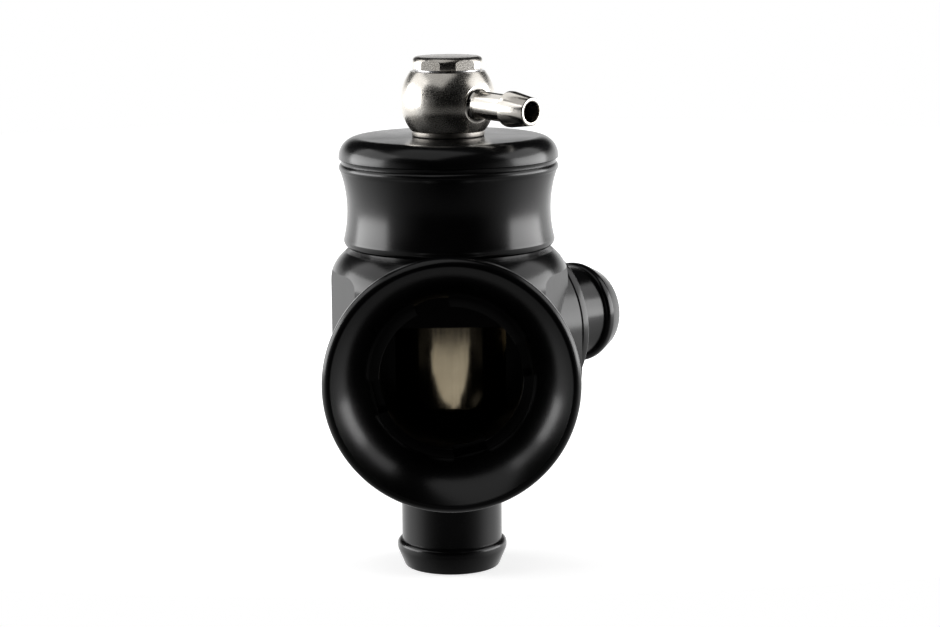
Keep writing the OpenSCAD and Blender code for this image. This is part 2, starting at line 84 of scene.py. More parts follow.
def raised(bm, face, rise):
    """A flat face drawn out into a solid."""
    top = bmesh.ops.extrude_face_region(bm, geom=face)["geom"]
    bmesh.ops.translate(bm, vec=rise, verts=[v for v in top if isinstance(v, bmesh.types.BMVert)])
    bmesh.ops.recalc_face_normals(bm, faces=bm.faces)
    return bm


class Outline:
    """A turner's half section: lines and arcs laid end to end, radius along X and length along Z."""

    def __init__(self, radius, level):
        self.bm = bmesh.new()
        self.first = self.last = self.bm.verts.new((radius, 0, level))
        self.eased = []

    def line(self, radius, level, ease=0):
        self.last = bmesh.ops.extrude_vert_indiv(self.bm, verts=[self.last])["verts"][0]
        self.last.co = (radius, 0, level)
        if ease:
            self.eased.append((self.last, ease))
        return self

    def arc(self, radius, level, turn, steps):
        """Turns the end about a centre, clockwise with the radius to the right and the length up."""
        made = bmesh.ops.spin(self.bm, geom=[self.last], cent=(radius, 0, level), axis=(0, 1, 0),
                              angle=math.radians(turn), steps=steps)
        self.last = [v for v in made["geom_last"] if isinstance(v, bmesh.types.BMVert)][0]
        return self

    def close(self):
        """Joins the ends and rounds the eased corners."""
        self.bm.edges.new((self.last, self.first))
        for corner, ease in self.eased:
            bmesh.ops.bevel(self.bm, geom=[corner], offset=ease, offset_type="OFFSET",
                            segments=EASE_SEGMENTS + int(ease * EASE_SEGMENTS_PER_MM),
                            profile=ROUND_PROFILE, affect="VERTICES", material=-1)

    def extruded(self, low, high):
        """The section as a bar along Y."""
        self.close()
        face = bmesh.ops.contextual_create(self.bm, geom=self.bm.edges[:])["faces"]
        bmesh.ops.translate(self.bm, vec=(0, low, 0), verts=self.bm.verts)
        return raised(self.bm, face, (0, high - low, 0))

    def turned(self, steps=FINE_STEPS):
        """The section turned about Z."""
        self.close()
        bmesh.ops.spin(self.bm, geom=self.bm.verts[:] + self.bm.edges[:], cent=(0, 0, 0),
                       axis=(0, 0, 1), angle=math.tau, steps=steps, use_merge=True)
        bmesh.ops.remove_doubles(self.bm, verts=self.bm.verts, dist=NEAR)
        bmesh.ops.recalc_face_normals(self.bm, faces=self.bm.faces)
        return self.bm


def at_level(level):
    return Matrix.Translation((0, 0, level))


def turned_about(axis, angle):
    return Matrix.Rotation(math.radians(angle), 4, axis)


def port_place(turn, height):
    """Stands a piece turned about Z on a port's axis, outwards."""
    return at_level(height) @ turned_about("Z", turn) @ turned_about("X", 90)


NIPPLE_PLACE = at_level(EYE_Z) @ turned_about("Z", NIPPLE_TURN) @ turned_about("X", 90 + NIPPLE_DROOP)
TRUMPET_PLACE = port_place(0, TRUMPET_Z)
RECIRC_PLACE = port_place(RECIRC_TURN, RECIRC_Z)
INLET_PLACE = at_level(BODY_LOW) @ Matrix.Rotation(math.pi, 4, "X")


def placed(bm, place):
    bmesh.ops.transform(bm, matrix=place, verts=bm.verts)
    return bm


def rod(radius, low, high):
    return Outline(0, low).line(radius, low).line(radius, high).line(0, high).turned(DRILL_STEPS)


def machined(stock, tool, way):
    """The stock with the tool cut out of it, joined to it or shared with it."""
    made = []
    for name, bm in (("stock", stock), ("tool", tool)):
        mesh = bpy.data.meshes.new(name)
        bm.to_mesh(mesh)
        bm.free()
        made.append(bpy.data.objects.new(name, mesh))
        bpy.context.collection.objects.link(made[-1])
    step = made[0].modifiers.new("step", "BOOLEAN")
    step.operation, step.solver, step.object = way, "EXACT", made[1]
    mesh = bpy.data.meshes.new_from_object(made[0].evaluated_get(bpy.context.evaluated_depsgraph_get()))
    result = bmesh.new()
    result.from_mesh(mesh)
    for old in [mesh] + [obj.data for obj in made]:
        bpy.data.meshes.remove(old)
    return result


def milled_flat(bm, outwards, reach):
    """Cuts off what lies beyond a plane and closes the cut."""
    cut = bmesh.ops.bisect_plane(bm, geom=bm.verts[:] + bm.edges[:] + bm.faces[:], dist=NEAR,
                                 plane_co=outwards * reach, plane_no=outwards, clear_outer=True)
    rim = [e for e in cut["geom_cut"] if isinstance(e, bmesh.types.BMEdge)]
    bmesh.ops.contextual_create(bm, geom=rim)


def ease_edges(bm, inner_r):
    """Marks the outer corners beyond a radius from the piston's axis to be eased; others stay sharp."""
    weights = bm.edges.layers.float.new("bevel_weight_edge")
    for edge in bm.edges:
        bend = math.degrees(edge.calc_face_angle(0))
        if not edge.is_convex:
            edge.smooth = bend < INNER_CREASE_ANGLE
        elif bend > SHARP_ANGLE and min(v.co.xy.length for v in edge.verts) > inner_r:
            edge[weights] = 1.0
        else:
            edge.smooth = bend < CREASE_ANGLE


def finished(name, bm, finish, body, slot, *nodes, edge=0, inner_r=0):
    """Hands over a piece in metres, smooth between its sharp edges, in its finish and on its body."""
    if edge:
        ease_edges(bm, inner_r)
    bmesh.ops.scale(bm, vec=(MM, MM, MM), verts=bm.verts)
    mesh = bpy.data.meshes.new(name)
    bm.to_mesh(mesh)
    bm.free()
    mesh.polygons.foreach_set("use_smooth", [True] * len(mesh.polygons))
    if not edge:
        mesh.set_sharp_from_angle(angle=math.radians(SHARP_ANGLE))
    mesh.materials.append(finish)
    piece = bpy.data.objects.new(name, mesh)
    bpy.context.collection.objects.link(piece)
    if edge:
        ease = piece.modifiers.new("eased edges", "BEVEL")
        ease.width, ease.segments, ease.limit_method = edge * MM, EDGE_SEGMENTS, "WEIGHT"
        ease.profile = ROUND_PROFILE
        ease.use_clamp_overlap, ease.harden_normals = True, True
    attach(piece, body)
    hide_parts(*nodes)
    return piece


# Finishes: colours are linear, depths of relief in metres

NOISE_SPAN = (0.3, 0.7)


def node(tree, kind, **sockets):
    made = tree.nodes.new(kind)
    for name, value in sockets.items():
        made.inputs[name.replace("_", " ")].default_value = value
    return made


def maths(tree, operation, *values):
    """A sum of sockets and plain numbers."""
    made = node(tree, "ShaderNodeMath")
    made.operation = operation
    for entry, value in zip(made.inputs, values):
        if isinstance(value, float):
            entry.default_value = value
        else:
            tree.links.new(value, entry)
    return made.outputs["Value"]


def length_of(tree, vector):
    made = node(tree, "ShaderNodeVectorMath")
    made.operation = "LENGTH"
    tree.links.new(vector, made.inputs[0])
    return made.outputs["Value"]


def turned_length(tree, place, centre, turn):
    """A length that grows along a turned piece's axis and across it, so that it is even round a tool mark."""
    local = node(tree, "ShaderNodeMapping", Location=centre, Rotation=turn)
    local.vector_type = "TEXTURE"
    tree.links.new(place, local.inputs["Vector"])
    parts = node(tree, "ShaderNodeSeparateXYZ")
    tree.links.new(local.outputs["Vector"], parts.inputs["Vector"])
    flat = node(tree, "ShaderNodeCombineXYZ")
    for axis in "XY":
        tree.links.new(parts.outputs[axis], flat.inputs[axis])
    return maths(tree, "ADD", length_of(tree, flat.outputs["Vector"]), parts.outputs["Z"])


def ramp(tree, value, low, high, at=NOISE_SPAN):
    made = node(tree, "ShaderNodeMapRange", From_Min=at[0], From_Max=at[1], To_Min=low, To_Max=high)
    tree.links.new(value, made.inputs["Value"])
    return made.outputs["Result"]


def tinted(tree, value, dark, light, at=NOISE_SPAN):
    made = node(tree, "ShaderNodeValToRGB")
    for stop, position, colour in zip(made.color_ramp.elements, at, (dark, light)):
        stop.position, stop.color = position, colour + (1,)
    tree.links.new(value, made.inputs["Fac"])
    return made.outputs["Color"]


def grain(tree, place, scale, detail=3.0):
    made = node(tree, "ShaderNodeTexNoise", Scale=scale, Detail=detail)
    tree.links.new(place, made.inputs["Vector"])
    return made.outputs["Fac"]


def marks(tree, length, scale):
    made = node(tree, "ShaderNodeTexNoise", Scale=scale, Detail=2.0)
    made.noise_dimensions = "1D"
    tree.links.new(length, made.inputs["W"])
    return made.outputs["Fac"]


def relief(tree, layers, shader):
    """Bumps laid over each other."""
    normal = None
    for height, depth in layers:
        bump = node(tree, "ShaderNodeBump", Distance=depth, Strength=1.0)
        tree.links.new(height, bump.inputs["Height"])
        if normal:
            tree.links.new(normal, bump.inputs["Normal"])
        normal = bump.outputs["Normal"]
    tree.links.new(normal, shader.inputs["Normal"])


def new_finish(name, metallic=0.0):
    finish = bpy.data.materials.new(name)
    finish.use_nodes = True
    tree = finish.node_tree
    shader = tree.nodes["Principled BSDF"]
    shader.inputs["Metallic"].default_value = metallic
    return finish, tree, shader, node(tree, "ShaderNodeTexCoord").outputs["Object"]


def coloured(tree, shader, colour, roughness):
    tree.links.new(colour, shader.inputs["Base Color"])
    tree.links.new(roughness, shader.inputs["Roughness"])


def black_anodise(name, centre=(0, 0, 0), turn=(0, 0, 0)):
    """Dyed satin anodise over turned aluminium."""
    dark, light, smooth, rough = (0.0008, 0.0008, 0.001), (0.002, 0.002, 0.0022), 0.19, 0.24
    cloud_scale, blast_scale, blast_depth, cut_scale, cut_depth = 70, 5200, 2.2e-6, 5200, 1.6e-6
    finish, tree, shader, place = new_finish(name)
    cloud = grain(tree, place, cloud_scale)
    cuts = marks(tree, turned_length(tree, place, centre, turn), cut_scale)
    coloured(tree, shader, tinted(tree, cloud, dark, light), ramp(tree, cloud, smooth, rough))
    shader.inputs["IOR"].default_value = 1.5
    relief(tree, [(grain(tree, place, blast_scale), blast_depth), (cuts, cut_depth)], shader)
    return finish


def nickel_plate(name, dark, light, smooth, rough, pit_depth):
    """Nickel plate over brass with the grain of the bar showing through."""
    cloud_scale, cloud_detail, cloud_depth, pit_scale, pit_detail = 260, 4.0, 5e-6, 4200, 2.0
    finish, tree, shader, place = new_finish(name, metallic=1.0)
    cloud = grain(tree, place, cloud_scale, cloud_detail)
    pits = grain(tree, place, pit_scale, pit_detail)
    coloured(tree, shader, tinted(tree, cloud, dark, light), ramp(tree, pits, smooth, rough))
    relief(tree, [(cloud, cloud_depth), (pits, pit_depth)], shader)
    return finish


def bare_aluminium(name):
    """Ground aluminium with fine lines along the slide."""
    dark, light, smooth, rough = (0.75, 0.63, 0.43), (0.88, 0.75, 0.52), 0.14, 0.20
    stretch, line_scale, line_depth = (1.0, 1.0, 0.03), 1500, 2.5e-6
    cloud_scale, grit_scale, grit_depth = 140, 2400, 2e-6
    finish, tree, shader, place = new_finish(name, metallic=1.0)
    along = node(tree, "ShaderNodeMapping", Scale=stretch)
    tree.links.new(place, along.inputs["Vector"])
    lines = grain(tree, along.outputs["Vector"], line_scale)
    cloud = grain(tree, place, cloud_scale)
    coloured(tree, shader, tinted(tree, cloud, dark, light), ramp(tree, lines, smooth, rough))
    relief(tree, [(lines, line_depth), (grain(tree, place, grit_scale), grit_depth)], shader)
    return finish


def plain_finish(name, dark, light, smooth, rough, cloud_scale, grit_scale, grit_depth, metallic=0.0):
    """One cloudy colour over a fine grit."""
    finish, tree, shader, place = new_finish(name, metallic)
    cloud = grain(tree, place, cloud_scale)
    coloured(tree, shader, tinted(tree, cloud, dark, light), ramp(tree, cloud, smooth, rough))
    relief(tree, [(grain(tree, place, grit_scale), grit_depth)], shader)
    return finish


QUARTER = math.radians(90)
ANODISE = black_anodise("black anodise turned upright")
TRUMPET_ANODISE = black_anodise("black anodise trumpet", (0, 0, TRUMPET_Z * MM), (QUARTER, 0, 0))
RECIRC_ANODISE = black_anodise("black anodise recirculation tail", (0, 0, RECIRC_Z * MM),
                               (QUARTER, 0, math.radians(RECIRC_TURN)))
NICKEL = nickel_plate("bright nickel", (0.70, 0.66, 0.60), (0.80, 0.77, 0.72),
                      smooth=0.10, rough=0.20, pit_depth=2e-6)
SATIN_NICKEL = nickel_plate("satin nickel", (0.66, 0.62, 0.56), (0.78, 0.75, 0.70),
                            smooth=0.16, rough=0.34, pit_depth=7e-6)
# Nickel for the lower washer, its colour darkened to about a third of the bright nickel's and its pits rougher:
# the darker colour is painted shade under the eye.
SHADED_NICKEL = nickel_plate("nickel darkened as painted shade", (0.20, 0.19, 0.17), (0.30, 0.28, 0.26),
                           smooth=0.30, rough=0.45, pit_depth=7e-6)
BARE = bare_aluminium("bare aluminium")
STEEL = plain_finish("drawn steel", (0.36, 0.36, 0.37), (0.52, 0.52, 0.53), smooth=0.22, rough=0.36,
                     cloud_scale=400, grit_scale=3000, grit_depth=4e-6, metallic=1.0)
RUBBER = plain_finish("moulded rubber", (0.010, 0.010, 0.010), (0.022, 0.021, 0.020), smooth=0.50, rough=0.68,
                      cloud_scale=300, grit_scale=2500, grit_depth=1e-5)
BAND = plain_finish("filled bearing band", (0.17, 0.13, 0.08), (0.26, 0.20, 0.13), smooth=0.45, rough=0.60,
                    cloud_scale=900, grit_scale=3200, grit_depth=6e-6)


# Body

def port_pad(turn, height):
    """Stadium pad on a port's axis, solid to the piston's axis."""
    bm = bmesh.new()
    rim = bmesh.ops.create_circle(bm, radius=PAD_W / 2, segments=FINE_STEPS)["verts"]
    lower = [v for v in rim if v.co.y < -NEAR]
    bmesh.ops.translate(bm, vec=(0, PAD_LOW_Z - height, 0), verts=lower)
    face = bmesh.ops.contextual_create(bm, geom=bm.edges[:])["faces"]
    return placed(raised(bm, face, (0, 0, PAD_REACH)), port_place(turn, height))


def port_drill(turn, height, spigot_r, passage_r):
    """Spigot bore and the passage behind it."""
    section = Outline(0, PASSAGE_AT).line(passage_r, PASSAGE_AT).line(passage_r, SPIGOT_AT)
    section.line(spigot_r, SPIGOT_AT).line(spigot_r, DRILL_END).line(0, DRILL_END)
    return placed(section.turned(), port_place(turn, height))


FOOT_ROUND, SHOULDER_R, SHOULDER_CUT, SHOULDER_STEPS = 7.5, 10.0, 2.0, 20
SHOULDER_Z = BODY_HIGH + SHOULDER_CUT - SHOULDER_R
SHOULDER_ARC = math.degrees(math.asin((BODY_HIGH - SHOULDER_Z) / SHOULDER_R))
NECK_GROOVE_LOW, NECK_GROOVE_HIGH, NECK_GROOVE_DEPTH, NECK_EDGE = 89.0, 91.4, 2.05, 0.6
FLAT_TURN, FLAT_REACH, FLAT_HIGH = 67.5, 26.0, 75.3
BOSS_HALF, BOSS_ROUND, CLEAR = 22.9, 2.5, 60.0
INLET_DRILL_LOW, INLET_SPIGOT_HIGH, INLET_SPIGOT_HOLE_R = 25.5, 31.5, 13.55
SEAT_R, CHAMBER_EDGE, SEAT_OVERCUT, OVERCUT = 14.7, 0.8, 0.5, 1.0
TRUMPET_SPIGOT_HOLE_R, RECIRC_SPIGOT_HOLE_R = 18.55, 12.75
BODY_EDGE, BODY_INNER_R = 0.25, 22.6


def side_flat(side):
    """What is milled off beside the round boss: a flat with a cutter's round in its top corner."""
    foot = BODY_LOW - OVERCUT
    cutter = Outline(side * BOSS_HALF, foot).line(side * BOSS_HALF, FLAT_HIGH, BOSS_ROUND)
    cutter = cutter.line(side * CLEAR, FLAT_HIGH).line(side * CLEAR, foot).extruded(-CLEAR, CLEAR)
    beyond = Outline(FLAT_REACH, 0).line(CLEAR, 0).line(CLEAR, CLEAR * 2).line(FLAT_REACH, CLEAR * 2)
    turn = turned_about("Z", side * FLAT_TURN - 90)
    return machined(cutter, placed(beyond.extruded(-CLEAR, CLEAR), turn), "INTERSECT")


def body_stock():
    groove_r = NECK_R - NECK_GROOVE_DEPTH
    bar = Outline(0, BODY_LOW).line(BODY_R, BODY_LOW, FOOT_ROUND).line(BODY_R, SHOULDER_Z)
    bar.arc(BODY_R - SHOULDER_R, SHOULDER_Z, -SHOULDER_ARC, SHOULDER_STEPS)
    bar.line(NECK_R, BODY_HIGH).line(NECK_R, NECK_GROOVE_LOW).line(groove_r, NECK_GROOVE_LOW)
    bar.line(groove_r, NECK_GROOVE_HIGH).line(NECK_R, NECK_GROOVE_HIGH)
    return bar.line(NECK_R, NECK_HIGH, NECK_EDGE).line(0, NECK_HIGH).turned()


def body_bores():
    inlet = Outline(0, INLET_DRILL_LOW).line(INLET_SPIGOT_HOLE_R, INLET_DRILL_LOW)
    inlet.line(INLET_SPIGOT_HOLE_R, INLET_SPIGOT_HIGH).line(INLET_BORE_R, INLET_SPIGOT_HIGH)
    inlet.line(INLET_BORE_R, SEAT_Z + SEAT_OVERCUT).line(0, SEAT_Z + SEAT_OVERCUT)
    chamber = Outline(SEAT_R, CHAMBER_LOW).line(CHAMBER_R, CHAMBER_LOW, CHAMBER_EDGE)
    chamber.line(CHAMBER_R, CHAMBER_HIGH).line(BORE_R, CHAMBER_HIGH)
    chamber.line(BORE_R, NECK_HIGH + OVERCUT).line(0, NECK_HIGH + OVERCUT).line(0, SEAT_Z).line(SEAT_R, SEAT_Z)
    return inlet.turned(), chamber.turned()


stock = body_stock()
for turn in (0, RECIRC_TURN):
    outwards = Vector((math.sin(math.radians(turn)), -math.cos(math.radians(turn)), 0))
    milled_flat(stock, outwards, PAD_REACH)
for side in (-1, 1):
    stock = machined(stock, side_flat(side), "DIFFERENCE")
stock = machined(stock, port_pad(0, TRUMPET_Z), "UNION")
stock = machined(stock, port_pad(RECIRC_TURN, RECIRC_Z), "UNION")
for bore in body_bores():
    stock = machined(stock, bore, "DIFFERENCE")
stock = machined(stock, port_drill(0, TRUMPET_Z, TRUMPET_SPIGOT_HOLE_R, THROAT_R), "DIFFERENCE")
stock = machined(stock, port_drill(RECIRC_TURN, RECIRC_Z, RECIRC_SPIGOT_HOLE_R, RECIRC_BORE_R), "DIFFERENCE")
finished("body_milled", stock, ANODISE, HOUSING, "black_anodise", "body", edge=BODY_EDGE, inner_r=BODY_INNER_R)

# Cap

WAIST_SWEEP_R, WAIST_Z, WAIST_R, WAIST_STEPS = 29.7, CAP_LOW + 9.4, 25.0, 28
WAIST_CENTRE = WAIST_R + WAIST_SWEEP_R
CAP_R, CAP_ROUND, CAP_FOOT_ROUND = 26.9, 4.8, 1.9
GROOVE_Z, GROOVE_R, GROOVE_FLOOR_R, GROOVE_STEPS = CAP_HIGH - 6, 0.85, 26.3, 6
BEAD_R, BEAD_Z, BEAD_STEPS = 1.2, GROOVE_Z - 1.4, 14
BEAD_MID_R = CAP_R - BEAD_R
SWEEP_LOW_Z, CREASE_Z = 82.55, 99.445
CAP_HOLE_R, CAVITY_R, SPRING_POCKET_R = NECK_R + 0.05, 17.0, 12.2
sweep_low = math.degrees(math.asin((WAIST_Z - SWEEP_LOW_Z) / WAIST_SWEEP_R))
sweep_high = math.degrees(math.asin((CREASE_Z - WAIST_Z) / WAIST_SWEEP_R))
sweep_low_r = WAIST_CENTRE - WAIST_SWEEP_R * math.cos(math.radians(sweep_low))
bead_low = math.degrees(math.asin((BEAD_Z - CREASE_Z) / BEAD_R))
bead_high = math.degrees(math.acos((GROOVE_FLOOR_R - BEAD_MID_R) / BEAD_R))
groove_half = math.degrees(math.acos((GROOVE_FLOOR_R + GROOVE_R - CAP_R) / GROOVE_R))

cap = Outline(CAP_HOLE_R, CAP_LOW).line(sweep_low_r, CAP_LOW, CAP_FOOT_ROUND).line(sweep_low_r, SWEEP_LOW_Z)
cap.arc(WAIST_CENTRE, WAIST_Z, sweep_low + sweep_high, WAIST_STEPS)
cap.arc(BEAD_MID_R, BEAD_Z, -bead_low - bead_high, BEAD_STEPS)
cap.line(GROOVE_FLOOR_R, GROOVE_Z).arc(GROOVE_FLOOR_R + GROOVE_R, GROOVE_Z, groove_half, GROOVE_STEPS)
cap.line(CAP_R, CAP_HIGH, CAP_ROUND).line(BOLT_HOLE_R, CAP_HIGH).line(BOLT_HOLE_R, ROOF_Z)
cap.line(SPRING_POCKET_R, ROOF_Z).line(SPRING_POCKET_R, STOP_Z)
cap.line(CAVITY_R, STOP_Z).line(CAVITY_R, NECK_HIGH).line(CAP_HOLE_R, NECK_HIGH)
finished("cap_turned", cap.turned(), ANODISE, HOUSING, "black_anodise", "cap")

# Trumpet

BELL_SWEEP_R, BELL_SWEEP_AT, BELL_STEPS = 9.25, 34.45, 18
FLARE_W, FLARE_TOP, STEP_R, STEP_AT = 8.7, 46.2, 19.2, 35.7
FLARE_MID_R, FLARE_MID_AT, FLARE_ARC, FLARE_STEPS = 41.876, 25.472, 31.1, 24
MOUTH_R, MOUTH_AT, LIP_R = 30.0, 46.5, 1.8
BELL_SPIGOT_R, BELL_GROOVE_IN, BELL_GROOVE_OUT, BELL_GROOVE_AT = 18.5, 18.9, 20.9, 26.7
SPIGOT_EDGE, THROAT_EDGE, TRUMPET_EDGE = 0.3, 0.2, 0.4
SLOT_W, SLOT_DEPTH, SLOT_TURN, SLOT_WALL = 8.0, 4.0, 14, 0.6
bell_turn = math.degrees(math.acos((HUB_R + BELL_SWEEP_R - MOUTH_R) / BELL_SWEEP_R))

bell = Outline(THROAT_R, SPIGOT_AT).line(BELL_SPIGOT_R, SPIGOT_AT, SPIGOT_EDGE).line(BELL_SPIGOT_R, PAD_REACH)
bell.line(BELL_GROOVE_IN, PAD_REACH).line(BELL_GROOVE_IN, BELL_GROOVE_AT)
bell.line(BELL_GROOVE_OUT, BELL_GROOVE_AT).line(BELL_GROOVE_OUT, PAD_REACH)
bell.line(HUB_R, PAD_REACH, SPIGOT_EDGE).line(HUB_R, BELL_SWEEP_AT)
bell.arc(HUB_R + BELL_SWEEP_R, BELL_SWEEP_AT, bell_turn, BELL_STEPS)
bell.line(MOUTH_R, MOUTH_AT, LIP_R).line(STEP_R + FLARE_W, MOUTH_AT, THROAT_EDGE)
bell.line(STEP_R + FLARE_W, FLARE_TOP).arc(FLARE_MID_R, FLARE_MID_AT, -FLARE_ARC, FLARE_STEPS)
bell.line(STEP_R, STEP_AT).line(THROAT_R, STEP_AT, THROAT_EDGE)
bell = bell.turned()
slot_high = SLOT_DEPTH + OVERCUT
for turn in (SLOT_TURN, SLOT_TURN + 90):
    cutter = bmesh.new()
    bmesh.ops.create_cube(cutter, size=1)
    bmesh.ops.scale(cutter, vec=(2 * (STEP_R - SLOT_WALL), SLOT_W, slot_high), verts=cutter.verts)
    placed(cutter, turned_about("Z", turn) @ at_level(STEP_AT - SLOT_DEPTH + slot_high / 2))
    bell = machined(bell, cutter, "DIFFERENCE")
finished("trumpet_bell", placed(bell, TRUMPET_PLACE), TRUMPET_ANODISE, HOUSING, "black_anodise", "trumpet",
         edge=TRUMPET_EDGE)


# Hose tails, from the pad outwards

INLET_TUBE_R, RECIRC_TUBE_R = 12.5, 11.7
SPIGOT_WALL, SPIGOT_LENGTH = 3, 5
TAIL_GROOVE_IN, TAIL_GROOVE_OUT, TAIL_GROOVE_DEPTH = 1.4, 3.4, 1.7
FLANGE_T, FLANGE_EDGE, FLANGE_FILLET = 2.5, 0.45, 1.0
TAIL_BEAD, TAIL_BEAD_FOOT, TAIL_BEAD_ROUND, TAIL_BEAD_STEPS = 1.15, 0.02, 0.35, 8
TAIL_TIP, TAIL_LEAD, TAIL_LAND, TIP_TAPER, TIP_EDGE = 26.5, 4.5, 1, 0.7, 0.3


def hose_tail(tube_r, hole_r):
    land_high, spigot_r = TAIL_TIP - TAIL_LEAD, hole_r + SPIGOT_WALL
    land_low = land_high - TAIL_LAND
    groove_in, groove_out = spigot_r + TAIL_GROOVE_IN, spigot_r + TAIL_GROOVE_OUT
    bead_foot = tube_r + TAIL_BEAD_FOOT
    tail = Outline(hole_r, -SPIGOT_LENGTH).line(spigot_r, -SPIGOT_LENGTH, SPIGOT_EDGE).line(spigot_r, 0)
    tail.line(groove_in, 0).line(groove_in, TAIL_GROOVE_DEPTH).line(groove_out, TAIL_GROOVE_DEPTH)
    tail.line(groove_out, 0).line(HUB_R, 0, FLANGE_EDGE).line(HUB_R, FLANGE_T, FLANGE_EDGE)
    tail.line(tube_r, FLANGE_T, FLANGE_FILLET).line(tube_r, land_low - TAIL_BEAD, TAIL_BEAD_ROUND)
    tail.line(bead_foot, land_low - TAIL_BEAD).arc(bead_foot, land_low, -90, TAIL_BEAD_STEPS)
    tail.line(tube_r + TAIL_BEAD, land_high, TAIL_BEAD_ROUND)
    tail.line(tube_r - TIP_TAPER, TAIL_TIP, TIP_EDGE).line(hole_r, TAIL_TIP, TIP_EDGE)
    return tail.turned()


finished("inlet_tail_turned", placed(hose_tail(INLET_TUBE_R, INLET_BORE_R), INLET_PLACE), ANODISE, HOUSING,
         "black_anodise", "inlet_tail")
finished("recirc_tail_turned",
         placed(hose_tail(RECIRC_TUBE_R, RECIRC_BORE_R), RECIRC_PLACE @ at_level(PAD_REACH)),
         RECIRC_ANODISE, HOUSING, "black_anodise", "recirc_tail")


# Seals

PORT_CORD, PISTON_CORD, CAP_CORD, NOSE_CORD = 1.6, 2.0, 2.0, 1.8
PORT_SEAL_AT, PISTON_SEAL_R, CORD_STEPS = 25.85, 15.0, 20


def seal(name, node_name, body, radius, cord, place):
    ring = bmesh.new()
    bmesh.ops.create_circle(ring, radius=cord / 2, segments=CORD_STEPS)
    placed(ring, Matrix.Translation((radius, 0, 0)) @ turned_about("X", 90))
    bmesh.ops.spin(ring, geom=ring.verts[:] + ring.edges[:], cent=(0, 0, 0), axis=(0, 0, 1), angle=math.tau,
                   steps=SMALL_STEPS, use_merge=True)
    bmesh.ops.recalc_face_normals(ring, faces=ring.faces)
    finished(name, placed(ring, place), RUBBER, body, "black_rubber", node_name)


for name, node_name, body, radius, cord, place in (
        ("cap_seal_ring", "cap_seal", HOUSING, 21.0, CAP_CORD, at_level(90.2)),
        ("trumpet_seal_ring", "trumpet_seal", HOUSING, 19.9, PORT_CORD, TRUMPET_PLACE @ at_level(PORT_SEAL_AT)),
        ("inlet_seal_ring", "inlet_seal", HOUSING, 15.9, PORT_CORD, INLET_PLACE @ at_level(0.85)),
        ("recirc_seal_ring", "recirc_seal", HOUSING, 15.1, PORT_CORD, RECIRC_PLACE @ at_level(PORT_SEAL_AT)),
        ("piston_upper_ring", "piston_upper_seal", PISTON_GROUP, PISTON_SEAL_R, PISTON_CORD,
         at_level(UPPER_SEAL_Z)),
        ("piston_lower_ring", "piston_lower_seal", PISTON_GROUP, PISTON_SEAL_R, PISTON_CORD,
         at_level(LOWER_SEAL_Z)),
        ("piston_nose_ring", "piston_nose_seal", PISTON_GROUP, 12.6, NOSE_CORD, at_level(42.05))):
    seal(name, node_name, body, radius, cord, place)

# Piston and its guide band

PISTON_R, PISTON_CHAMFER, CHAMFER_EDGE = 16.0, 1.2, 0.25
NOSE_GROOVE_IN, NOSE_GROOVE_OUT, NOSE_GROOVE_TOP = 11.5, 13.7, 42.95
SEAL_GROOVE_HALF, SEAL_GROOVE_DEPTH = 1.2, 2.05
GUIDE_GROOVE_HALF, GUIDE_GROOVE_DEPTH, GROOVE_EDGE = 2.15, 1.2, 0.1
CUP_R, CUP_FLOOR, CUP_EDGE = 12.5, 45.4, 0.5
piston = Outline(0, PISTON_LOW).line(NOSE_GROOVE_IN, PISTON_LOW).line(NOSE_GROOVE_IN, NOSE_GROOVE_TOP)
piston.line(NOSE_GROOVE_OUT, NOSE_GROOVE_TOP).line(NOSE_GROOVE_OUT, PISTON_LOW)
piston.line(PISTON_R - PISTON_CHAMFER, PISTON_LOW, CHAMFER_EDGE)
piston.line(PISTON_R, PISTON_LOW + PISTON_CHAMFER, CHAMFER_EDGE)
for middle, half, depth in ((LOWER_SEAL_Z, SEAL_GROOVE_HALF, SEAL_GROOVE_DEPTH),
                            (GUIDE_Z, GUIDE_GROOVE_HALF, GUIDE_GROOVE_DEPTH),
                            (UPPER_SEAL_Z, SEAL_GROOVE_HALF, SEAL_GROOVE_DEPTH)):
    piston.line(PISTON_R, middle - half, GROOVE_EDGE).line(PISTON_R - depth, middle - half)
    piston.line(PISTON_R - depth, middle + half).line(PISTON_R, middle + half, GROOVE_EDGE)
piston.line(PISTON_R, PISTON_HIGH, CUP_EDGE).line(CUP_R, PISTON_HIGH, CUP_EDGE)
piston.line(CUP_R, CUP_FLOOR, CUP_EDGE).line(0, CUP_FLOOR)
turned_piston = finished("piston_turned", piston.turned(), BARE, PISTON_GROUP, "bare_aluminium", "piston")

BAND_IN, BAND_OUT, BAND_LOW, BAND_HIGH, BAND_EDGE = 14.875, 16.025, 69.4, 73.6, 0.2
band = Outline(BAND_IN, BAND_LOW).line(BAND_OUT, BAND_LOW, BAND_EDGE).line(BAND_OUT, BAND_HIGH, BAND_EDGE)
finished("piston_guide_band", band.line(BAND_IN, BAND_HIGH).turned(), BAND, PISTON_GROUP, "guide_band",
         "piston_guide_ring")

# Spring: the wire's ring is swept round the axis with a rise for each step

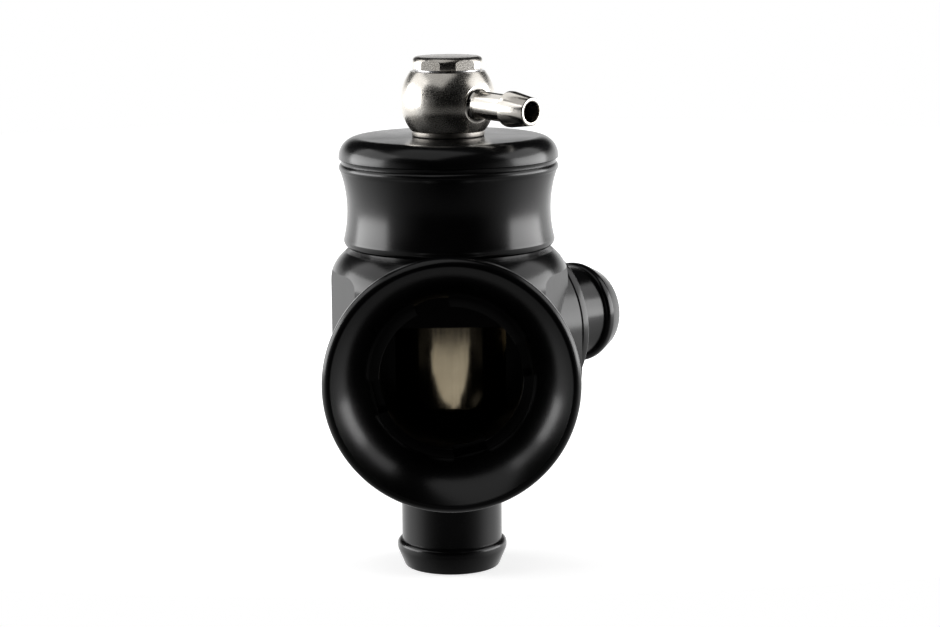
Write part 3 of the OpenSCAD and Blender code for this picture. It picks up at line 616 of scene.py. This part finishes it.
WIRE_D, SPRING_MID_R, SPRING_LOW, SPRING_HIGH = 2.2, 9.4, 46.55, 102.05
SPRING_STEPS, SPRING_TURNS, WIRE_STEPS = 40, 9, 16
wire = bmesh.new()
bmesh.ops.create_circle(wire, radius=WIRE_D / 2, segments=WIRE_STEPS, cap_ends=True)
placed(wire, Matrix.Translation((SPRING_MID_R, 0, SPRING_LOW)) @ turned_about("X", 90))
front = wire.verts[:] + wire.edges[:] + wire.faces[:]
open_rise = (SPRING_HIGH - SPRING_LOW - 2 * WIRE_D) / (SPRING_TURNS - 2)
for turns, rise in ((1, WIRE_D), (SPRING_TURNS - 2, open_rise), (1, WIRE_D)):
    front = bmesh.ops.spin(wire, geom=front, cent=(0, 0, 0), axis=(0, 0, 1), angle=turns * math.tau,
                           dvec=(0, 0, rise / SPRING_STEPS), steps=turns * SPRING_STEPS)["geom_last"]
bmesh.ops.recalc_face_normals(wire, faces=wire.faces)
spring = finished("spring_wound", wire, STEEL, HOUSING, "spring_steel", "spring")
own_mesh(spring)

# Banjo fitting

NIPPLE_BORE_R = 2.5
GALLERY_HALF, GALLERY_DEPTH, EYE_STEPS, EYE_EDGE = 2.5, 1.6, 28, 0.25
EYE_DRILL_LOW, EYE_DRILL_HIGH = 5.5, 14
flat_half = (EYE_HIGH - EYE_LOW) / 2
flat_r = math.sqrt(EYE_R ** 2 - flat_half ** 2)
gallery_r = BOLT_HOLE_R + GALLERY_DEPTH
eye = Outline(BOLT_HOLE_R, EYE_LOW).line(flat_r, EYE_LOW)
eye.arc(0, EYE_Z, -2 * math.degrees(math.asin(flat_half / EYE_R)), EYE_STEPS).line(BOLT_HOLE_R, EYE_HIGH)
eye.line(BOLT_HOLE_R, EYE_Z + GALLERY_HALF).line(gallery_r, EYE_Z + GALLERY_HALF)
eye.line(gallery_r, EYE_Z - GALLERY_HALF).line(BOLT_HOLE_R, EYE_Z - GALLERY_HALF)
nipple_hole = placed(rod(NIPPLE_BORE_R, EYE_DRILL_LOW, EYE_DRILL_HIGH), NIPPLE_PLACE)
eye = machined(eye.turned(), nipple_hole, "DIFFERENCE")
finished("banjo_eye_turned", eye, SATIN_NICKEL, HOUSING, "bright_nickel", "banjo_eye", edge=EYE_EDGE)

STEM_R, STEM_LOW, BARB_R, NIPPLE_END = 3.35, 7.6, 4.325, 29.3
BRAZE, BRAZE_SUNK, BRAZE_LAND, BRAZE_HIGH, BRAZE_FILLET = 1.2, 0.15, 0.25, 0.45, 0.9
BARB_FOOT, BARB_LOW, BARB_HIGH = 21, 21.8, 23.0
BARB_FOOT_EDGE, BARB_LOW_EDGE, BARB_HIGH_EDGE, TIP_OUTER_EDGE, TIP_INNER_EDGE = 0.2, 0.25, 0.3, 0.25, 0.2
braze_r = STEM_R + BRAZE
braze_foot = math.sqrt(EYE_R ** 2 - braze_r ** 2) - BRAZE_SUNK
nipple = Outline(NIPPLE_BORE_R, STEM_LOW).line(STEM_R, STEM_LOW).line(STEM_R, braze_foot)
nipple.line(braze_r, braze_foot).line(braze_r, braze_foot + BRAZE_LAND)
nipple.line(STEM_R, braze_foot + BRAZE_HIGH, BRAZE_FILLET).line(STEM_R, BARB_FOOT, BARB_FOOT_EDGE)
nipple.line(BARB_R, BARB_LOW, BARB_LOW_EDGE).line(BARB_R, BARB_HIGH, BARB_HIGH_EDGE)
nipple.line(STEM_R, NIPPLE_END, TIP_OUTER_EDGE).line(NIPPLE_BORE_R, NIPPLE_END, TIP_INNER_EDGE)
turned_nipple = finished("banjo_nipple_turned", placed(nipple.turned(SMALL_STEPS), NIPPLE_PLACE), NICKEL,
                         HOUSING, "bright_nickel", "banjo_nipple")


def washer(name, node_name, low, high, finish, slot, outer_r, ease):
    ring = Outline(BOLT_HOLE_R, low).line(outer_r, low, ease).line(outer_r, high, ease)
    finished(name, ring.line(BOLT_HOLE_R, high).turned(SMALL_STEPS), finish, HOUSING, slot, node_name)


washer("upper_washer_disc", "banjo_upper_washer", EYE_HIGH, HEAD_LOW, STEEL, "spring_steel",
       outer_r=8.0, ease=0.15)
# The lower washer takes the darkened nickel, painted shade where it sits under the eye.
washer("lower_washer_disc", "banjo_lower_washer", CAP_HIGH, EYE_LOW, SHADED_NICKEL, "bright_nickel",
       outer_r=8.9, ease=0.35)

SHANK_R, SHANK_EDGE, BOLT_BORE_R, BOLT_BORE_RISE, BOLT_EDGE = 4.95, 0.5, 2.2, 3, 0.12
HEAD_R, HEAD_FLAT, HEAD_EDGE, HEAD_ROUND, HEAD_SIDES = 8.8, 8.4, 0.15, 1.5, 6
CROSS_R, CROSS_HALF = 1.5, 9
bolt = Outline(BOLT_BORE_R, ROOF_Z).line(SHANK_R, ROOF_Z, SHANK_EDGE).line(SHANK_R, HEAD_LOW)
bolt.line(HEAD_R, HEAD_LOW, HEAD_EDGE).line(HEAD_R, HEAD_HIGH, HEAD_ROUND).line(0, HEAD_HIGH)
bolt = bolt.line(0, EYE_Z + BOLT_BORE_RISE).line(BOLT_BORE_R, EYE_Z + BOLT_BORE_RISE).turned()
for k in range(HEAD_SIDES):
    turn = k * math.tau / HEAD_SIDES
    milled_flat(bolt, Vector((math.cos(turn), math.sin(turn), 0)), HEAD_FLAT)
cross = placed(rod(CROSS_R, -CROSS_HALF, CROSS_HALF), at_level(EYE_Z) @ turned_about("X", 90))
bolt = machined(bolt, cross, "DIFFERENCE")
finished("banjo_bolt_turned", bolt, SATIN_NICKEL, HOUSING, "bright_nickel", "banjo_bolt", edge=BOLT_EDGE)

# Floor and light, in metres

WHITE = (1, 1, 1, 1)
FLOOR_R, FLOOR_BACK, FLOOR_STEPS, FLOOR_TONE = 0.6, 0.57, 128, (0.85, 0.85, 0.85, 1)
GLOW_NEAR, GLOW_FAR, GLOW_SPAN = 0.6, 1.0, (0.08, 0.2)


def plain_floor():
    """Pale floor that the camera sees fade to white away from the object."""
    bm = bmesh.new()
    bmesh.ops.create_circle(bm, radius=FLOOR_R, segments=FLOOR_STEPS, cap_ends=True)
    placed(bm, Matrix.Translation((0, FLOOR_BACK, 0)))
    mesh = bpy.data.meshes.new("floor")
    bm.to_mesh(mesh)
    bm.free()
    floor = bpy.data.objects.new("floor", mesh)
    bpy.context.collection.objects.link(floor)
    pale = bpy.data.materials.new("pale floor")
    pale.use_nodes = True
    tree = pale.node_tree
    tree.nodes.clear()
    out = node(tree, "ShaderNodeOutputMaterial")
    lit = node(tree, "ShaderNodeBsdfDiffuse", Color=FLOOR_TONE)
    glow = node(tree, "ShaderNodeEmission", Color=WHITE)
    away = length_of(tree, node(tree, "ShaderNodeTexCoord").outputs["Object"])
    seen = node(tree, "ShaderNodeLightPath").outputs["Is Camera Ray"]
    part = maths(tree, "MULTIPLY", seen, ramp(tree, away, GLOW_NEAR, GLOW_FAR, GLOW_SPAN))
    tree.links.new(part, glow.inputs["Strength"])
    both = node(tree, "ShaderNodeAddShader")
    tree.links.new(lit.outputs["BSDF"], both.inputs[0])
    tree.links.new(glow.outputs["Emission"], both.inputs[1])
    tree.links.new(both.outputs["Shader"], out.inputs["Surface"])
    mesh.materials.append(pale)
    floor.visible_glossy = False


def level_ramp(tree, value, stops):
    """Grey that follows one part of a direction, from -1 to 1."""
    made = node(tree, "ShaderNodeValToRGB")
    bar = made.color_ramp.elements
    while len(bar) < len(stops):
        bar.new(0.5)
    for stop, (level, grey) in zip(bar, stops):
        stop.position, stop.color = (level + 1) / 2, (grey, grey, grey, 1)
    tree.links.new(ramp(tree, value, 0.0, 1.0, (-1, 1)), made.inputs["Fac"])
    return made.outputs["Color"]


# Part of a direction and the grey there: front to back, and up for the room's band and the table
ROUND_STOPS = ((-0.87, 0.0), (-0.70, 0.05), (-0.45, 0.22), (-0.20, 0.58), (0.10, 0.90))
BAND_STOPS = ((-0.75, 0.30), (-0.30, 1.0), (-0.16, 1.5), (0.0, 1.5), (0.12, 1.0), (0.26, 0.02))
TABLE_STOPS = ((-0.60, 0.03), (-0.40, 0.07), (-0.26, 0.07), (-0.19, 0.0))
AMBIENT = 0.25


def studio_world():
    """White all round for the camera; metal sees white behind and beside the object and dark in front."""
    world = bpy.data.worlds.new("studio")
    bpy.context.scene.world = world
    world.use_nodes = True
    tree = world.node_tree
    tree.nodes.clear()
    out = node(tree, "ShaderNodeOutputWorld")
    sky = node(tree, "ShaderNodeBackground", Color=WHITE)
    ray = node(tree, "ShaderNodeLightPath").outputs
    parts = node(tree, "ShaderNodeSeparateXYZ")
    tree.links.new(node(tree, "ShaderNodeTexCoord").outputs["Generated"], parts.inputs["Vector"])
    room = maths(tree, "MULTIPLY_ADD", level_ramp(tree, parts.outputs["Y"], ROUND_STOPS),
                 level_ramp(tree, parts.outputs["Z"], BAND_STOPS),
                 level_ramp(tree, parts.outputs["Z"], TABLE_STOPS))
    glossy = maths(tree, "MULTIPLY", ray["Is Glossy Ray"], room)
    seen = maths(tree, "ADD", ray["Is Camera Ray"], glossy)
    ambient = maths(tree, "MULTIPLY", ray["Is Diffuse Ray"], AMBIENT)
    tree.links.new(maths(tree, "ADD", seen, ambient), sky.inputs["Strength"])
    tree.links.new(sky.outputs["Background"], out.inputs["Surface"])


def softbox(name, azimuth, elevation, distance, width, height, radiance, aim=(0, 0, 0.07)):
    """Soft lamp that looks at the object; azimuth 0 is the camera's side and 90 the right."""
    lamp = bpy.data.lights.new(name, "AREA")
    lamp.shape, lamp.size, lamp.size_y = "RECTANGLE", width, height
    lamp.energy = radiance * math.pi * width * height
    a, e = math.radians(azimuth), math.radians(elevation)
    away = Vector((math.sin(a) * math.cos(e), -math.cos(a) * math.cos(e), math.sin(e)))
    box = bpy.data.objects.new(name, lamp)
    box.location = Vector(aim) + away * distance
    box.rotation_mode = "QUATERNION"
    box.rotation_quaternion = (-away).to_track_quat("-Z", "Y")
    bpy.context.collection.objects.link(box)
    return box


def card(name, piece, **lamp):
    """A softbox that lights one piece only."""
    box = softbox(name, **lamp)
    lit = bpy.data.collections.new("lit by the " + name)
    lit.objects.link(piece)
    box.light_linking.receiver_collection = lit


plain_floor()
studio_world()
SIDE_BOX = {"distance": 0.7, "width": 0.66, "height": 0.34}
for side, azimuth in (("left", -97), ("right", 95)):
    softbox(side + " softbox", azimuth, elevation=8.5, radiance=4.4, **SIDE_BOX)
    softbox(side + " upper softbox", azimuth, elevation=35, radiance=1.3, **SIDE_BOX)
softbox("top softbox", -45, elevation=66, distance=0.8, width=0.78, height=0.78, radiance=0.5)
card("front card", turned_piston, azimuth=0, elevation=-90, distance=0.1, width=0.60, height=0.50,
     radiance=0.30, aim=(0, -0.38, 0.1))
card("rear card", turned_nipple, azimuth=-140, elevation=40, distance=0.5, width=0.50, height=0.40,
     radiance=1.0, aim=(0.015, -0.017, 0.115))

# Camera

CAMERA_BACK, CAMERA_HIGH = 0.607, 0.1695
PITCH, ROLL, TURN = 80.1, -0.57, -0.283
lens = bpy.data.cameras.new("camera")
lens.sensor_width, lens.lens, lens.shift_x = 36.0, 95.36, 0.0213
camera = bpy.data.objects.new("camera", lens)
bpy.context.collection.objects.link(camera)
camera.matrix_world = (turned_about("Z", TURN) @ Matrix.Translation((0, -CAMERA_BACK, CAMERA_HIGH))
                       @ turned_about("X", PITCH) @ turned_about("Z", ROLL))
bpy.context.scene.camera = camera
bpy.context.scene.view_settings.view_transform = "Standard"
